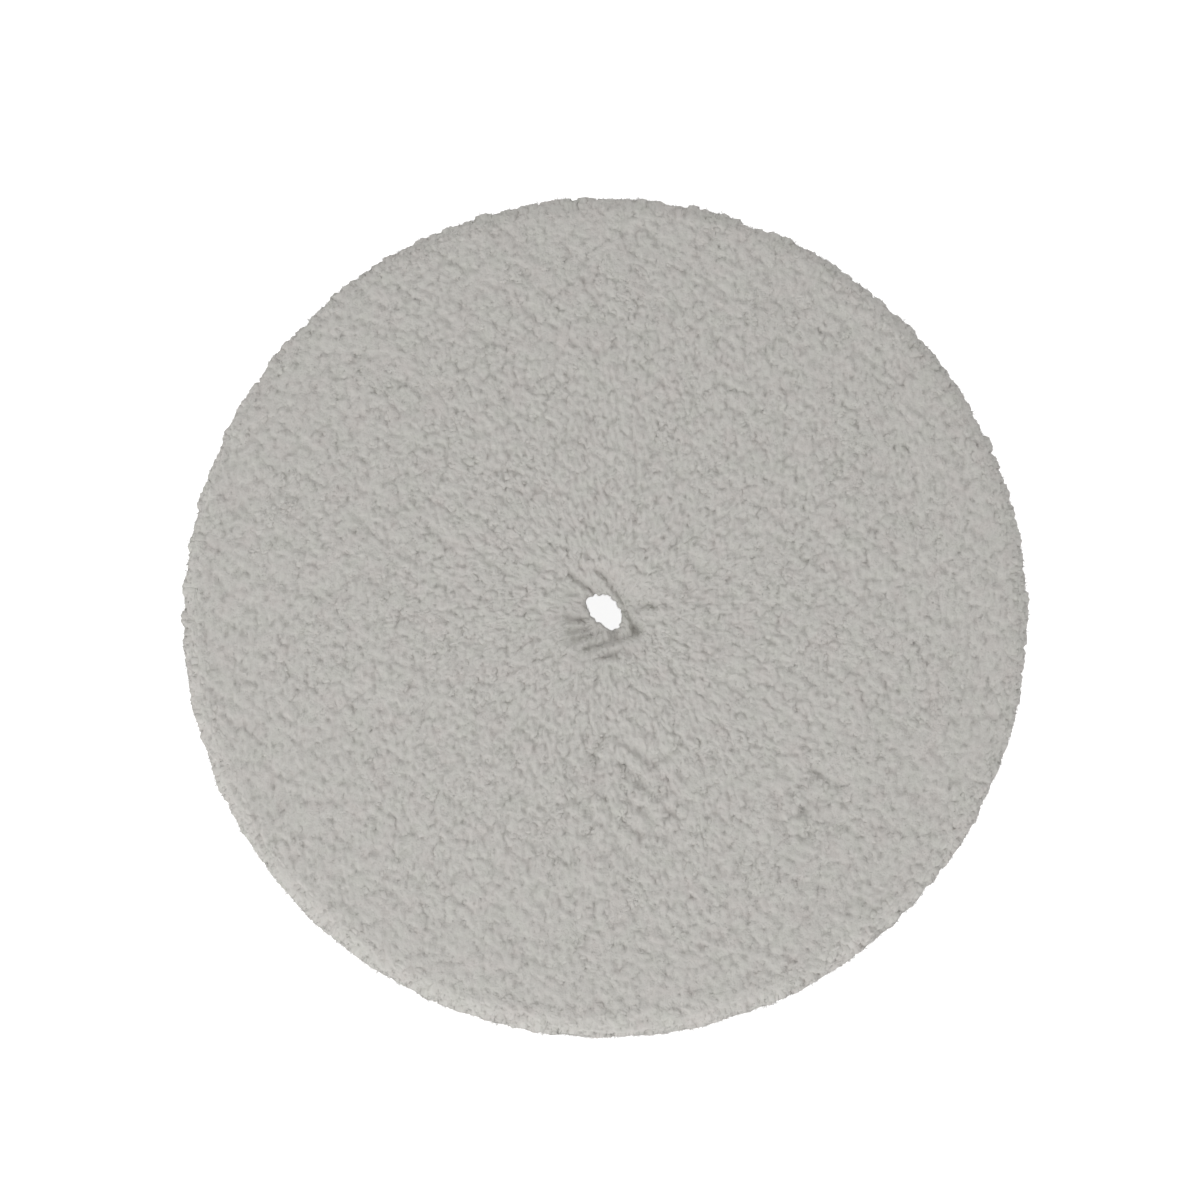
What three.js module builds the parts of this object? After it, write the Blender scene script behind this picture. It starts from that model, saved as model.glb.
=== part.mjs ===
// A single-sided, hook-and-loop wool polishing pad, lying on its back with the wool up.
//
// From the loop face upwards it is a stack of bonded and lock-stitched layers:
//   loop facing -> adhesive film -> moulded backing disc -> binder coat -> ground cloth -> wool pile
// A centring hole runs through all of them. Two rings of lock stitching, one near the rim and one
// round the hole, tie the ground cloth to the backing disc, with a thread on each side.
//
// Millimetres, +Z up and out of the wool face. The origin is the centre of the loop face.
import * as THREE from "three";

// ---- Driving dimensions ----
const PAD_RADIUS = 101.6; // an 8 inch pad, measured over the wool
const PAD_HEIGHT = 31.75; // 1 1/4 inch from the loop face to the wool face
const DISC_RADIUS = 92;
const CLOTH_OVERHANG = 1.5; // how far the ground cloth stands out past the backing disc
const FACING_RADIUS = 85.5;
const HOLE_RADIUS = 8; // the hole through the disc, the binder coat and the cloth
const FACING_HOLE_RADIUS = 11;
const NECK_RADIUS = 4; // what the wool leaves open of the hole
const EDGE_SEAM_RADIUS = 88.5;
const CENTRE_SEAM_RADIUS = 14;
const STITCH_LENGTH = 6;
const THREAD_RADIUS = 0.5;
const GROOVE_WIDTH = 3; // a seam groove gives its thread room on both sides
const GROOVE_DEPTH = 1.25;

// ---- Layer thicknesses. Each is a whole number of quarter millimetres. ----
const FACING_THICKNESS = 2;
const FILM_THICKNESS = 0.25;
const DISC_THICKNESS = 5;
const BINDER_THICKNESS = 0.75;
const CLOTH_THICKNESS = 0.75;

// ---- Worked out from the above ----
const CLOTH_RADIUS = DISC_RADIUS + CLOTH_OVERHANG;
const BINDER_RADIUS = DISC_RADIUS + CLOTH_OVERHANG / 2;
const FILM_Z = FACING_THICKNESS;
const DISC_Z = FILM_Z + FILM_THICKNESS;
const BINDER_Z = DISC_Z + DISC_THICKNESS;
const CLOTH_Z = BINDER_Z + BINDER_THICKNESS;
const PILE_Z = CLOTH_Z + CLOTH_THICKNESS;
const PILE_HEIGHT = PAD_HEIGHT - PILE_Z;

// ---- How finely round shapes are divided ----
const RING_SIDES = 64;
const THREAD_SIDES = 5;
const STEPS_PER_STITCH = 2;

const material = (name, color, roughness) =>
  new THREE.MeshStandardMaterial({ name, color, roughness, metalness: 0 });

const MATERIALS = {
  wool: material("wool", 0xb9b7b1, 0.95),
  cloth: material("cloth", 0xcfc9b8, 0.95),
  loop: material("loop", 0xe6e4de, 0.95),
  thread: material("thread", 0xe8e6e0, 0.8),
  binder: material("binder", 0xd8cfae, 0.7),
  disc: material("disc", 0xe2dccb, 0.55),
  film: material("film", 0xd9d2bd, 0.4),
};

// A closed outline of [radius, height] points turned about the Z axis. It runs outwards below,
// up the outside and back down the inside, so that the faces point out of the piece.
function turned(outline, sides = RING_SIDES) {
  const points = [...outline, outline[0]].map(([r, z]) => new THREE.Vector2(r, z));
  return new THREE.LatheGeometry(points, sides).rotateX(Math.PI / 2);
}

// Outline points on an arc about [radius, height], from one angle to another in degrees.
function arc([r, z], size, from, to, steps) {
  return Array.from({ length: steps + 1 }, (_, i) => {
    const angle = THREE.MathUtils.degToRad(from + ((to - from) * i) / steps);
    return [r + size * Math.cos(angle), z + size * Math.sin(angle)];
  });
}

// Outline points of a groove in an underside at height 0.
function groove(radius) {
  const inner = radius - GROOVE_WIDTH / 2;
  const outer = radius + GROOVE_WIDTH / 2;
  return [
    [inner, 0],
    [inner, GROOVE_DEPTH],
    [outer, GROOVE_DEPTH],
    [outer, 0],
  ];
}

// The underside's outline, which the backing disc and the pile share: a groove for each seam.
const seamGrooves = () => [...groove(CENTRE_SEAM_RADIUS), ...groove(EDGE_SEAM_RADIUS)];

function flatRing(inner, outer, thickness) {
  return turned([
    [inner, 0],
    [outer, 0],
    [outer, thickness],
    [inner, thickness],
  ]);
}

// The brushed loop facing, with its outer and inner edges eased below.
function loopFacing() {
  const ease = 0.75;
  return turned([
    [FACING_HOLE_RADIUS + ease, 0],
    [FACING_RADIUS - ease, 0],
    [FACING_RADIUS, ease],
    [FACING_RADIUS, FACING_THICKNESS],
    [FACING_HOLE_RADIUS, FACING_THICKNESS],
    [FACING_HOLE_RADIUS, ease],
  ]);
}

// The moulded disc, with a rounded rim below and the edge of its hole eased.
function backingDisc() {
  const rimRound = 2;
  const ease = 0.5;
  return turned([
    [HOLE_RADIUS + ease, 0],
    ...seamGrooves(),
    ...arc([DISC_RADIUS - rimRound, rimRound], rimRound, -90, 0, 3),
    [DISC_RADIUS, DISC_THICKNESS],
    [HOLE_RADIUS, DISC_THICKNESS],
    [HOLE_RADIUS, ease],
  ]);
}

// The pile as one soft block: a flat face, tufts that fan out past the cloth into a rounded rim,
// and tufts that lean in over the hole, so that the neck is narrower than the hole in the cloth.
function woolPile() {
  const rimRound = 4;
  const lipRound = 6;
  const fan = PAD_RADIUS - CLOTH_RADIUS;
  return turned([
    [HOLE_RADIUS, 0],
    ...seamGrooves(),
    [CLOTH_RADIUS, 0],
    [CLOTH_RADIUS + 0.75 * fan, 0.08 * PILE_HEIGHT],
    [PAD_RADIUS, 0.25 * PILE_HEIGHT],
    ...arc([PAD_RADIUS - rimRound, PILE_HEIGHT - rimRound], rimRound, 0, 90, 3),
    ...arc([NECK_RADIUS + lipRound, PILE_HEIGHT - lipRound], lipRound, 90, 180, 4),
    [NECK_RADIUS, 0.4 * PILE_HEIGHT],
  ]);
}

// One side of a seam: a ring of thread against height 0, above it where side is 1 and below it
// where side is -1. It is drawn thin at the end of each stitch, where it enters the layers.
function seamThread(radius, side) {
  const drawnThin = 0.65;
  const gap = 0.1;
  const stitches = Math.round((2 * Math.PI * radius) / STITCH_LENGTH);
  const section = arc([radius, 0], THREAD_RADIUS, 0, 360 * (1 - 1 / THREAD_SIDES), THREAD_SIDES - 1);
  const thread = turned(section, stitches * STEPS_PER_STITCH);
  const position = thread.getAttribute("position");
  const point = new THREE.Vector3();
  for (let i = 0; i < position.count; i++) {
    point.fromBufferAttribute(position, i);
    const out = Math.hypot(point.x, point.y);
    const alongStitch = 0.5 - 0.5 * Math.cos(stitches * Math.atan2(point.y, point.x));
    const thickness = THREE.MathUtils.lerp(drawnThin, 1, alongStitch);
    const shrink = (radius + (out - radius) * thickness) / out;
    const lift = side * (gap + THREAD_RADIUS * thickness);
    position.setXYZ(i, point.x * shrink, point.y * shrink, point.z * thickness + lift);
  }
  return thread;
}

const pad = new THREE.Group();

function add(name, geometry, slot, z) {
  const mesh = new THREE.Mesh(geometry, MATERIALS[slot].clone());
  mesh.name = name;
  mesh.position.z = z;
  pad.add(mesh);
}

add("loop_facing", loopFacing(), "loop", 0);
add("facing_adhesive", flatRing(FACING_HOLE_RADIUS, FACING_RADIUS, FILM_THICKNESS), "film", FILM_Z);
add("backing_disc", backingDisc(), "disc", DISC_Z);
add("binder_coat", flatRing(HOLE_RADIUS, BINDER_RADIUS, BINDER_THICKNESS), "binder", BINDER_Z);
add("ground_cloth", flatRing(HOLE_RADIUS, CLOTH_RADIUS, CLOTH_THICKNESS), "cloth", CLOTH_Z);
add("wool_pile", woolPile(), "wool", PILE_Z);
for (const [seam, radius] of [["edge", EDGE_SEAM_RADIUS], ["centre", CENTRE_SEAM_RADIUS]]) {
  add(`${seam}_seam_face_thread`, seamThread(radius, 1), "thread", PILE_Z);
  add(`${seam}_seam_back_thread`, seamThread(radius, -1), "thread", DISC_Z + GROOVE_DEPTH);
}

export default pad;
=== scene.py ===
"""A wool polishing pad, lying on its back with the pile up.

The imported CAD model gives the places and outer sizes. The wool is a matted skin with a nub over each
tuft, and the tufts themselves: each is a length of four-ply twisted yarn that stands in the ground
cloth, opens out towards its cut end, and leans with the tufts round it. The backing's layers are
turned about the pad's axis, and its loops and stitches are drawn one by one. Metres throughout, in
the CAD model's own frame.
"""

import math

import bpy
import numpy as np
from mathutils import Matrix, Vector, kdtree

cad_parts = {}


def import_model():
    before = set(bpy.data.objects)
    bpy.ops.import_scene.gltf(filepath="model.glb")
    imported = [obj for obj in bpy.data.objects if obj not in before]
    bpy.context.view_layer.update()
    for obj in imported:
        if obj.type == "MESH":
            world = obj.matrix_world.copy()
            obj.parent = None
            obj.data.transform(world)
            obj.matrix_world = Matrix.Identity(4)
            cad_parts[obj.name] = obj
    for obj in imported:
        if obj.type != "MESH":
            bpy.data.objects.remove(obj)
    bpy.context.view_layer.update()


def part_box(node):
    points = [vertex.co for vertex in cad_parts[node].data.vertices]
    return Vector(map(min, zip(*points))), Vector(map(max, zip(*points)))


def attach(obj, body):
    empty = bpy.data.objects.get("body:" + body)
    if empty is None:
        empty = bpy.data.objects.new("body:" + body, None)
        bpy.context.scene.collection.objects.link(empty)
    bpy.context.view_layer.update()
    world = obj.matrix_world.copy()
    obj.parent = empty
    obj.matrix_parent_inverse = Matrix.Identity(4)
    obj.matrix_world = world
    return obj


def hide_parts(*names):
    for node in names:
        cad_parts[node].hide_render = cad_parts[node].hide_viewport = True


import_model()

MM = 0.001
TURN = 2 * math.pi

# ---- Places and sizes that the CAD model gives ----
PILE_LOW, PILE_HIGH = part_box("wool_pile")
PAD_RADIUS = PILE_HIGH.x
FACE_Z = PILE_HIGH.z
CLOTH_TOP = PILE_LOW.z
CLOTH_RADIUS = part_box("ground_cloth")[1].x
HOLE_RADIUS = 8 * MM

# ---- The backing ----
FACING_HOLE_RADIUS = 11 * MM
INNER_RADII = {
    "loop_facing": FACING_HOLE_RADIUS,
    "facing_adhesive": FACING_HOLE_RADIUS,
    "backing_disc": HOLE_RADIUS,
    "binder_coat": HOLE_RADIUS,
    "ground_cloth": HOLE_RADIUS,
}
# How far each layer's corners are rounded, how far its cut or poured edge wanders, and the seed of that.
EDGES = {
    "loop_facing": (0.3 * MM, 0.12 * MM, 3),
    "facing_adhesive": (0.08 * MM, 0.1 * MM, 31),
    "binder_coat": (0.3 * MM, 0.25 * MM, 32),
    "ground_cloth": (0.2 * MM, 0.15 * MM, 33),
}
RAGGED_WAVELENGTH = 9 * MM
TURNED_COLUMNS = 360
SMOOTH_ANGLE = math.radians(50)

DISC_CORNER = 0.5 * MM
DISC_RIM = (1.1 * MM, 1.5 * MM)  # width and height of the disc's bevel
PARTING_SHARE = 0.6  # how far up the disc's edge its parting line runs
PARTING_DEPTH = 0.3 * MM
PARTING_HALF = 0.25 * MM
SEAM_RADII = {"centre": 14 * MM, "edge": 88.5 * MM}
GROOVE_HALF = 1.5 * MM
GROOVE_DEPTH = 1.25 * MM

STITCH_LENGTH = 6 * MM
STITCH_RINGS = 17
STITCH_DIP = 1.6  # how deep a stitch's ends go, in thread radii
THREAD_RADIUS = 0.5 * MM
THREAD_PLIES = 3
THREAD_PLY_RADIUS = 0.52 * THREAD_RADIUS
THREAD_TWISTS = 1.5

FACING_LOOPS = 14000
LOOP_RADIUS = 0.16 * MM
LOOP_DROP = 0.9 * MM  # from the facing's cloth down to the lowest loops
LOOP_RINGS = 6
LOOP_MARGIN = 1 * MM
LOOP_STRAY = 0.35 * MM
LOOP_SPANS = (0.5 * MM, 1.1 * MM)  # half the distance between a loop's feet
LOOP_BEND = 0.5 * MM
GOLDEN_TURN = TURN * (math.sqrt(5) - 1) / 2

# ---- The pile's outline: level to the edge, round it, straight down the side, and in below ----
EDGE_ROUND = 5 * MM
SIDE_STRAIGHT = 12.5 * MM
UNDER_ROUND = 6 * MM
UNDER_TURN = math.radians(60)
TOP_FLAT = PAD_RADIUS - EDGE_ROUND
SIDE_START = TOP_FLAT + EDGE_ROUND * math.pi / 2
UNDER_START = SIDE_START + SIDE_STRAIGHT
PROFILE_END = UNDER_START + UNDER_ROUND * UNDER_TURN

# ---- The opening, and the strands that lie round it ----
OPENING_LONG = 5.0 * MM
OPENING_SHORT = 3.25 * MM
OPENING_TURN = math.radians(-45)
OPENING_SIZE = 1.01  # the mean of the ragged edge, as a share of the oval
# How the opening's edge wanders, as (waves round it, share of its radius, phase).
OPENING_RIPPLES = ((3, 0.05, 1), (5, 0.035, 2), (9, 0.02, 0), (13, 0.025, 0.5), (19, 0.02, 2))
LYING_START = 8 * MM
LYING_END = 16 * MM
LYING_DRIFT = (1.3, -0.75)  # strands by the hole lie towards it, and drift this way round it
LYING_SLOPE = 3.5  # how flat they lie there
STRIP_PITCH = 1.1 * MM
STRIP_STRAY = 1.2 * MM
LIP_TUFTS = 11
DIMPLE_START = 3 * MM
DIMPLE_DEPTH = 4 * MM
# Creases in the pile by the hole, each from one place on the face to another.
CREASES = np.array(
    [
        ((-1.6, 9.8), (2.4, 5.4)),
        ((2.4, 5.4), (5.4, -0.6)),
        ((5.4, -0.6), (7.8, -5.2)),
        ((-8.8, 8.2), (-3.2, 5.2)),
        ((-9.0, -2.0), (-4.8, -2.4)),
        ((-8.4, -5.4), (-4.2, -4.6)),
        ((-7.6, -7.2), (-3.6, -6.0)),
        ((-4.4, -9.6), (6.2, -6.2)),
        ((-1.0, -11.6), (3.0, -11.0)),
        ((8.6, 1.2), (12.4, 0.6)),
    ]
) * MM
CREASE_REACH = 1.5 * MM
CREASE_DEPTH = 1.15 * MM
# Pits in the pile by the hole, as (place, reach), in mm.
PITS = (((7.7, -4.9), 2.6), ((2.4, -5.8), 2.0))
PIT_DEPTH = 1.8 * MM

# ---- How the pile is parted, brushed and rolling ----
# Patches of parted pile, as (place, reach), in mm.
PARTED_PATCHES = (((6, -44), 17), ((50, -46), 11))
PARTED_DEPTH = 0.38 * MM
PARTED_WAVELENGTH = 6 * MM
ROLLING_DEPTH = 0.2 * MM
ROLLING_WAVELENGTH = 18 * MM
# How far the pile leans over its topmost LEANING_HEIGHT: broadly, clump by clump, and where parted.
LEANING_HEIGHT = 4 * MM
BROAD_LEAN = 1.2 * MM
BROAD_WAVELENGTH = 30 * MM
CLUMP_LEAN = 0.35 * MM
CLUMP_WAVELENGTH = 7 * MM
PARTED_LEAN = 1.1 * MM
NAP = 0.35  # how far the whole pile is brushed towards +Y, as a slope

# ---- The tufts ----
TUFT_PITCH_X = 2.4 * MM
TUFT_PITCH_Y = 3.8 * MM
TUFT_STRAY = 0.4  # how far a tuft may stand from its place in the rows, in pitches
PLIES = 4
PLY_OPENING = (0.65 * MM, 1.0 * MM)
PLY_RADIUS = 1.3 * MM
STEM_RADIUS = 0.55 * MM
YARN_RADIUS = 0.6 * MM
YARN_TWISTS = 1.1  # turns of the plies round one another in each TWIST_LENGTH
TWIST_LENGTH = 20 * MM
OPENING_SHARES = (0.55, 1)  # where along a tuft its plies begin and end opening out
SWELLING_SHARES = (0.6, 0.95)  # where along it they begin and end growing thicker
PLY_SIZES = (0.85, 1.15)
LYING_THINNER = 0.42  # by how much plies are thinner that lie by the hole
LYING_SHARPER = 1.2  # and by how much longer their tips are
# How far below the pile's outline plies end, and how much that differs from tuft to tuft and ply to ply.
FACE_PLY_SINK = 0.5 * MM
SIDE_PLY_SINK = 0.25 * MM
SIDE_BLEND = 4 * MM
FACE_TUFT_UNEVEN = 0.25 * MM
SIDE_TUFT_UNEVEN = 0.55 * MM
PLY_UNEVEN = 0.08 * MM
ROOT_MARGIN = 0.7 * MM
ROOT_BACK = 0.4  # how far roots stand back from the lean, as a share of it
# How far a tuft runs straight on from its root, and straight to its cut end, as shares of its length.
ROOT_STRETCH = 0.45
TIP_STRETCH = 0.42
LYING_TIP_STRETCH = 0.3
CONVERGE_END = 22 * MM
FAN_START = 62 * MM
FLARE = 0.7  # how far the outermost tufts stand outwards, as a slope
DROOP = 1.5  # how far the strands on the side hang down, as a slope
# How far along a tuft each ring lies, from the cloth to the cut end, before the rounded tip.
FACE_RINGS = np.array([0, 0.45, 0.75, 0.9, 1])
RIM_RINGS = np.array([0, 0.15, 0.3, 0.45, 0.58, 0.7, 0.82, 0.92, 1])
FULL_RINGS = np.array([0, 0.12, 0.24, 0.36, 0.48, 0.58, 0.68, 0.77, 0.85, 0.91, 0.96, 1])
# The rounded tip, as (height, radius) of each ring in ply radii. The last is the end point.
TIP_RINGS = ((0.14, 0.88), (0.26, 0.55), (0.32, 0))
FIBRES_PER_PLY = 5
FIBRE_RADIUS = 0.05 * MM
FIBRE_LENGTHS = (0.9, 1.8)  # in ply radii
FIBRE_SPREAD = (0.5, 3)
FIBRE_CURL = 0.9
FIBRE_TAPER = (1, 0.9, 0)
GRAIN_LENGTH = 3 * MM
SECTORS = 8  # the pile's face and rim are each made in this many pieces
RIM_START = TOP_FLAT - 4 * MM

# ---- The matted skin ----
MATTING_COLUMNS = 1000
MATTING_STEP = 0.48 * MM
# The matted wool swells softly, as (wavelength, height) in mm, and a nub stands over each tuft and ply.
MATTING_SWELLS = ((6.0, 0.05), (1.7, 0.12))
SWELL_RIPPLES = 64
TUFT_NUB = 0.12 * MM
PLY_NUB = 0.37 * MM
NUB_MEAN = 0.2 * MM  # the skin is raised by this, as the nubs only sink it
NUB_STRETCH = np.array([1, 0.63])  # nubs of tufts are longer along Y, as the rows of tufts lie
TUFT_NUB_REACH = 0.6 * TUFT_PITCH_X
PLY_NUB_REACH = 0.4 * TUFT_PITCH_X
NUB_WANDER = 0.3 * MM  # how far the nubs' outlines stray from round
NUB_WANDER_WAVELENGTH = 2.6 * MM
SIDE_SINK = 1.3 * MM  # how far the skin draws back down the side, where tufts are seen whole
LIP_ROUND = 1.4 * MM
MATTING_MARGIN = 1.5 * MM
NECK_GAP = 0.9 * MM  # between the hole and the skin, where the wool stands on the cloth
NECK_WALL = 1.2 * MM  # how far under the opening's lip the skin turns down, and how deep
NECK_DEPTH = 9 * MM
MATTING_GRAIN = 1.2 * MM

# ---- Colours, in linear light ----
WOOL_YARNS = ((0.605, 0.589, 0.559), (0.655, 0.639, 0.61))  # the darkest yarn, and the lightest
THREAD_COLOUR = (0.80, 0.78, 0.74)
LOOP_COLOUR = (0.79, 0.775, 0.74)
FILM_COLOUR = (0.66, 0.60, 0.46)
DISC_COLOUR = (0.76, 0.715, 0.60)
# The pores' colour is painted shade in their pits.
PAINTED_PORE_SHADE = (0.55, 0.52, 0.47)
BINDER_COLOUR = (0.69, 0.62, 0.42)
BINDER_RUNS = ((0.60, 0.51, 0.31), (0.71, 0.64, 0.45))  # where it is thick, and thin
CLOTH_COLOUR = (0.62, 0.58, 0.48)
CLOTH_GAP_SHADE_AND_THREADS = ((0.45, 0.42, 0.34), (0.63, 0.59, 0.49))  # painted shade between the threads, and the threads' own colour on them
CLOTH_PITCH = 0.9 * MM
WHITE = (1, 1, 1)

# ---- Floor, lights and camera ----
FLOOR_SIZE = 6
FLOOR_COLOUR = (0.88, 0.88, 0.88)
FLOOR_GLOW = 0.92
WORLD_GLOW = 0.8
DOME_HORIZON = 1.2
DOME_ZENITH = 0.32
KEY_PLACE = (-0.3, -0.62, 0.8)
KEY_SIZE = 0.9
KEY_POWER = 4.2
CAMERA_AIM = Vector((-1.2 * MM, 3.5 * MM, 20 * MM))
CAMERA_DISTANCE = 0.82
CAMERA_TILT = math.radians(7.3)
CAMERA_LENS = 101.2


def smoothstep(value, low, high):
    """From 0 at low to 1 at high, level at both."""
    x = np.clip((value - low) / (high - low), 0, 1)
    return x * x * (3 - 2 * x)


def waves(points, wavelength, seed, count=24):
    """Smooth noise over a plane, of about unit size, with bumps about one wavelength across."""
    rng = np.random.default_rng(seed)
    angle = rng.uniform(0, TURN, count)
    size = TURN / wavelength * rng.uniform(0.6, 1.4, count)
    ripple = np.stack([np.cos(angle), np.sin(angle)]) * size
    phase = rng.uniform(0, TURN, count)
    return np.cos(points @ ripple + phase).sum(1) * math.sqrt(2 / count)


def unit(v):
    return v / np.linalg.norm(v, axis=-1, keepdims=True)


def at(radius, angle):
    """Flat places at a distance and an angle from the axis."""
    return np.stack([radius * np.cos(angle), radius * np.sin(angle)], -1)


def raised(points, height):
    """Places in space over the flat places given, at one height or a height for each."""
    return np.concatenate([points, np.broadcast_to(height, points.shape[:-1])[..., None]], -1)


def tree_of(points):
    """A search tree of flat places."""
    tree = kdtree.KDTree(len(points))
    for i, (x, y) in enumerate(points):
        tree.insert((x, y, 0), i)
    tree.balance()
    return tree


# ---- Meshes ----


NO_TRIANGLES = np.zeros((0, 3), int)


def ring_quads(rows, columns):
    """The faces of closed rings of vertices, each joined to the next, and the last to the first."""
    i = np.arange(rows)[:, None] * columns
    following = (np.arange(rows)[:, None] + 1) % rows * columns
    j = np.arange(columns)
    k = (j + 1) % columns
    return np.stack([i + j, i + k, following + k, following + j], -1).reshape(-1, 4)


def mesh_object(name, vertices, quads, triangles=NO_TRIANGLES, flat_from=None):
    """A mesh with smooth shading, but for the faces from number flat_from on."""
    mesh = bpy.data.meshes.new(name)
    mesh.vertices.add(len(vertices))
    mesh.vertices.foreach_set("co", np.asarray(vertices, np.float32).ravel())
    loops = np.concatenate([quads.ravel(), triangles.ravel()]).astype(np.int32)
    sizes = np.concatenate([np.full(len(quads), 4), np.full(len(triangles), 3)])
    starts = np.concatenate([[0], np.cumsum(sizes)[:-1]]).astype(np.int32)
    mesh.loops.add(len(loops))
    mesh.loops.foreach_set("vertex_index", loops)
    mesh.polygons.add(len(sizes))
    mesh.polygons.foreach_set("loop_start", starts)
    mesh.update(calc_edges=True)
    smooth = np.ones(len(sizes), bool)
    if flat_from is not None:
        smooth[flat_from:] = False
    mesh.polygons.foreach_set("use_smooth", smooth)
    obj = bpy.data.objects.new(name, mesh)
    bpy.context.scene.collection.objects.link(obj)
    return obj


def frames_along(paths, first):
    """For each ring of each path, its direction and two directions across it, carried without turning."""
    ahead = unit(np.gradient(paths, axis=1))
    across = np.empty_like(ahead)
    carried = first
    for i in range(paths.shape[1]):
        carried = unit(carried - (carried * ahead[:, i]).sum(-1, keepdims=True) * ahead[:, i])
        across[:, i] = carried
    return ahead, across, np.cross(ahead, across)


def tube_mesh(name, paths, radii, sides, first, roughen):
    """Closed tubes along paths of shape (tubes, rings, 3). The last ring of each closes on a point."""
    tubes, rings = radii.shape
    _, across, beside = frames_along(paths, first)
    turn = np.arange(sides) * TURN / sides
    ring = np.cos(turn)[:, None] * across[:, :, None] + np.sin(turn)[:, None] * beside[:, :, None]
    body = paths[:, :, None] + ring * (radii[:, :, None] * roughen)[..., None]
    body = body[:, :-1].reshape(tubes, -1, 3)
    ends = np.stack([paths[:, 0], paths[:, -1]], 1)
    vertices = np.concatenate([body, ends], 1)
    per_tube = vertices.shape[1]
    i = np.arange(rings - 2)[:, None] * sides
    j = np.arange(sides)
    k = (j + 1) % sides
    quads = np.stack([i + j, i + k, i + sides + k, i + sides + j], -1).reshape(-1, 4)
    root, tip = per_tube - 2, per_tube - 1
    last = (rings - 2) * sides
    caps = np.concatenate(
        [
            np.stack([np.full(sides, root), k, j], -1),
            np.stack([last + j, last + k, np.full(sides, tip)], -1),
        ]
    )
    offset = (np.arange(tubes) * per_tube)[:, None, None]
    return mesh_object(
        name,
        vertices.reshape(-1, 3),
        (quads[None] + offset).reshape(-1, 4),
        (caps[None] + offset).reshape(-1, 3),
    )


# ---- Where the tufts stand and end ----
# A place on the pile's outside is a point on an unrolled plane: its distance from the centre is the
# length along the profile, over the face, round the edge and down the side.


def opening_radius(angle):
    """Distance from the axis to the edge of the opening that the wool leaves."""
    a = angle - OPENING_TURN
    ragged = OPENING_SIZE + sum(share * np.cos(count * a + phase) for count, share, phase in OPENING_RIPPLES)
    return ragged / np.hypot(np.cos(a) / OPENING_LONG, np.sin(a) / OPENING_SHORT)


def profile(s):
    """Radius, height, and how far the outside has turned over from facing up, at length s."""
    edge = np.clip((s - TOP_FLAT) / EDGE_ROUND, 0, math.pi / 2)
    side = np.clip(s - SIDE_START, 0, SIDE_STRAIGHT)
    under = np.clip((s - UNDER_START) / UNDER_ROUND, 0, UNDER_TURN)
    radius = np.minimum(s, TOP_FLAT) + EDGE_ROUND * np.sin(edge) - UNDER_ROUND * (1 - np.cos(under))
    drop = EDGE_ROUND * (1 - np.cos(edge)) + side + UNDER_ROUND * np.sin(under)
    return radius, FACE_Z - drop, edge + under


def spread(points, spacing, rounds):
    """Pushes crowded points apart, as neighbouring tufts do."""
    for _ in range(rounds):
        tree = tree_of(points)
        move = np.zeros_like(points)
        for i, (x, y) in enumerate(points):
            for (nx, ny, _), j, distance in tree.find_range((x, y, 0), spacing):
                if j != i:
                    push = 0.3 * (spacing / max(distance, 1e-6) - 1)
                    move[i] += (push * (x - nx), push * (y - ny))
        points = points + move
    return points


def keep_out_of_opening(points, margin):
    """Moves places that lie over the opening outwards, until they clear it by the margin."""
    s = np.linalg.norm(points, axis=-1)
    angle = np.arctan2(points[..., 1], points[..., 0])
    return at(np.maximum(s, opening_radius(angle) + margin), angle)


def lying_way(points):
    """The way that strands by the hole lie: inwards, and round the hole with the drift."""
    outward = unit(points)
    away = np.maximum((outward * LYING_DRIFT).sum(-1, keepdims=True), 0)
    return unit(np.array(LYING_DRIFT) - outward * (1 + away))


def lying_share(middle):
    """How far each tuft lies down by the hole: 1 where it lies, and 0 where it stands."""
    return 1 - smoothstep(np.linalg.norm(middle, axis=-1), LYING_START, LYING_END)[:, None]


def tuft_places(rng):
    """Where the tufts' middles lie on the unrolled plane: in staggered rows, and round the opening's lip."""
    xs = np.arange(-PROFILE_END, PROFILE_END, TUFT_PITCH_X)
    ys = np.arange(-PROFILE_END, PROFILE_END, TUFT_PITCH_Y)
    rows = np.stack(np.meshgrid(xs, ys, indexing="ij"), -1)
    rows[1::2, :, 1] += TUFT_PITCH_Y / 2
    rows = rows.reshape(-1, 2)
    rows += rng.uniform(-TUFT_STRAY, TUFT_STRAY, rows.shape) * (TUFT_PITCH_X, TUFT_PITCH_Y)
    far = np.hypot(*rows.T)
    gap = far - opening_radius(np.arctan2(rows[:, 1], rows[:, 0]))
    rows = rows[(far < PROFILE_END) & (gap > 0.8 * TUFT_PITCH_X)]
    angle = (np.arange(LIP_TUFTS) + rng.uniform(-0.25, 0.25, LIP_TUFTS)) * TURN / LIP_TUFTS
    lip = at(opening_radius(angle) + PLY_RADIUS, angle)
    apart = spread(np.concatenate([lip, rows]), TUFT_PITCH_X, rounds=5)
    return keep_out_of_opening(apart, PLY_RADIUS)


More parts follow.
